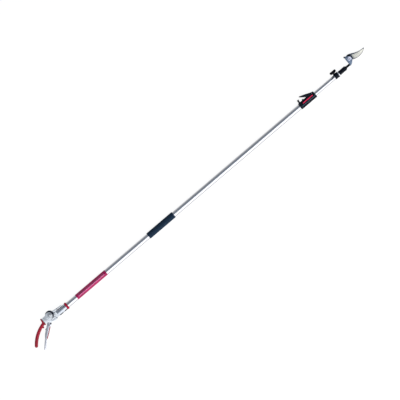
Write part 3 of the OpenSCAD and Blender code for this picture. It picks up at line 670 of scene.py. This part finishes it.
# ---- Flip lock's rib ----
def make_clamp_rib():
    """Half-round rib along the flip lock's face, which carries the light along it; its teal colour is a
    painted highlight.
    """
    low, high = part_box("clamp_body")
    stripe_low, stripe_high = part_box("clamp_stripe")
    centre_y = stripe_low.y - 5.6 * MM
    rib_r = 1.5 * MM
    sink = 0.7 * MM
    x0, x1 = low.x + 3 * MM, high.x - 3 * MM
    rings = []
    for i in range(41):
        x = lerp(x0, x1, i / 40)
        end = min(1.0, (x - x0) / (3 * MM) + 0.15, (x1 - x) / (3 * MM) + 0.15)
        r = rib_r * math.sqrt(end)
        rings.append([
            (x, centre_y + r * math.cos(a), stripe_high.z - sink + r * math.sin(a))
            for a in (2 * math.pi * k / 20 for k in range(20))
        ])
    mesh = tube_mesh("clamp_rib", rings)
    shade(mesh, 60)
    made = bpy.data.objects.new("clamp_rib", mesh)
    bpy.context.scene.collection.objects.link(made)
    mesh.materials.append(MATERIAL["rib_painted_highlight"])
    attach(made, "pole")
    return made


# ---- What each node becomes ----
FINISH = {"tube_socket": "socket_alloy"}
LONG_EDGES = {"clamp_body": 3.0, "clamp_lever": 2.2}
BEVELS = {
    "housing_lower": 1.1, "housing_upper": 1.1, "housing_screws": 0.25, "trigger_lever": 0.9,
    "trigger_pad": 0.9, "trigger_bumper": 0.5, "trigger_screw": 0.4, "trigger_bolt": 0.5,
    "trigger_nut": 0.35, "lock_catch": 0.7, "tube_socket": 0.4, "socket_pads": 0.4,
    "end_ring": 0.9, "outer_tube": 0.25, "plain_sleeve": 0.12, "clamp_body": 0.9,
    "clamp_stripe": 0.25, "clamp_lever": 0.8, "lever_pin": 0.3, "tension_screw": 0.3,
    "clamp_rivets": 0.25, "inner_tube": 0.25, "collar": 0.4, "collar_ring": 0.25,
    "knob": 0.5, "head_socket": 0.4, "head_stem": 0.5, "head_casting": 0.7,
    "counter_blade": 0.4, "hook_rivets": 0.3, "jaw_bolt": 0.6, "jaw_nut": 0.45,
    "stop_post": 0.5, "rod_end": 0.4, "tube_key": 0.3,
}


def dress_nodes():
    """Bevelled copies of what shows, and the same finishes on the nodes that stay."""
    for node, width in BEVELS.items():
        rounded(node, width * MM)
    for node, cad in NODES.items():
        cad.data.materials.clear()
        cad.data.materials.append(MATERIAL[FINISH.get(node, SLOT[node])])


# ---- Studio ----
def area_light(name, at, target, size, power):
    data = bpy.data.lights.new(name, "AREA")
    data.shape = "RECTANGLE"
    data.size, data.size_y = size
    data.energy = power
    lamp = bpy.data.objects.new(name, data)
    lamp.location = at
    lamp.visible_camera = False
    lamp.rotation_euler = (Vector(target) - Vector(at)).to_track_quat("-Z", "Y").to_euler()
    bpy.context.scene.collection.objects.link(lamp)


def make_studio():
    mesh = bpy.data.meshes.new("floor")
    half = 14
    corners = [(-half, -half, 0), (half, -half, 0), (half, half, 0), (-half, half, 0)]
    mesh.from_pydata(corners, [], [(0, 1, 2, 3)])
    floor = bpy.data.objects.new("floor", mesh)
    bpy.context.scene.collection.objects.link(floor)
    paper = Finish("paper", (0.12, 0.12, 0.12), 0.9, Specular_IOR_Level=0.1)
    tones(paper, paper.noise(3, 2), (0.118, 0.118, 0.118), (0.122, 0.122, 0.122))
    paper.shader.inputs["Emission Color"].default_value = (1, 1, 1, 1)
    paper.shader.inputs["Emission Strength"].default_value = 0.93
    mesh.materials.append(paper.material)
    area_light("key_panel", (0, -1.02, 0.8), (0, 0, 0.01), (3.8, 2.3), 56)
    make_backdrop()
    world = bpy.data.worlds.new("studio")
    bpy.context.scene.world = world
    world.use_nodes = True
    tree = world.node_tree
    coordinates = tree.nodes.new("ShaderNodeTexCoord")
    split = tree.nodes.new("ShaderNodeSeparateXYZ")
    fall = tree.nodes.new("ShaderNodeValToRGB")
    tree.links.new(coordinates.outputs["Generated"], split.inputs["Vector"])
    tree.links.new(split.outputs["Z"], fall.inputs["Fac"])
    tree.links.new(fall.outputs["Color"], tree.nodes["Background"].inputs["Color"])
    fall.color_ramp.elements[0].color = (0.66, 0.67, 0.69, 1)
    fall.color_ramp.elements[1].color = (0.4, 0.46, 0.53, 1)
    fall.color_ramp.elements[1].position = 0.95
    middle_stop = fall.color_ramp.elements.new(0.45)
    middle_stop.color = (0.44, 0.47, 0.51, 1)
    tree.nodes["Background"].inputs["Strength"].default_value = 0.9
    bpy.context.scene.view_settings.view_transform = "Standard"


def make_backdrop():
    """Pale wall round the floor, seen by the camera only."""
    wall_r, wall_h, sides = 13.5, 9, 48
    turns = [2 * math.pi * k / sides for k in range(sides)]
    corners = [(wall_r * math.cos(a), wall_r * math.sin(a)) for a in turns]
    mesh = bpy.data.meshes.new("backdrop")
    mesh.from_pydata(
        [(x, y, -0.1) for x, y in corners] + [(x, y, wall_h) for x, y in corners],
        [],
        [(k, (k + 1) % sides, sides + (k + 1) % sides, sides + k) for k in range(sides)],
    )
    wall = bpy.data.objects.new("backdrop", mesh)
    bpy.context.scene.collection.objects.link(wall)
    paint = Finish("wall_paint", (0.5, 0.5, 0.5), 0.9)
    paint.shader.inputs["Emission Color"].default_value = (1, 1, 1, 1)
    paint.shader.inputs["Emission Strength"].default_value = 0.8
    mesh.materials.append(paint.material)
    for ray in ("diffuse", "glossy", "transmission", "shadow", "volume_scatter"):
        setattr(wall, "visible_" + ray, False)


def make_camera():
    """Straight down on the pole, which climbs to the right at 40 degrees in the picture."""
    data = bpy.data.cameras.new("camera")
    data.lens = 200
    data.sensor_width = 36
    view_width = 1.648
    camera = bpy.data.objects.new("camera", data)
    camera.location = (-0.0052, -0.0033, AXIS_Z + view_width * data.lens / data.sensor_width)
    camera.rotation_euler = (0, 0, math.radians(-40.46))
    bpy.context.scene.collection.objects.link(camera)
    bpy.context.scene.camera = camera


make_camera()
make_studio()
MATERIAL = make_materials()
dress_nodes()
make_foam_grip()
make_rear_grip()
make_blade()
make_clamp_rib()
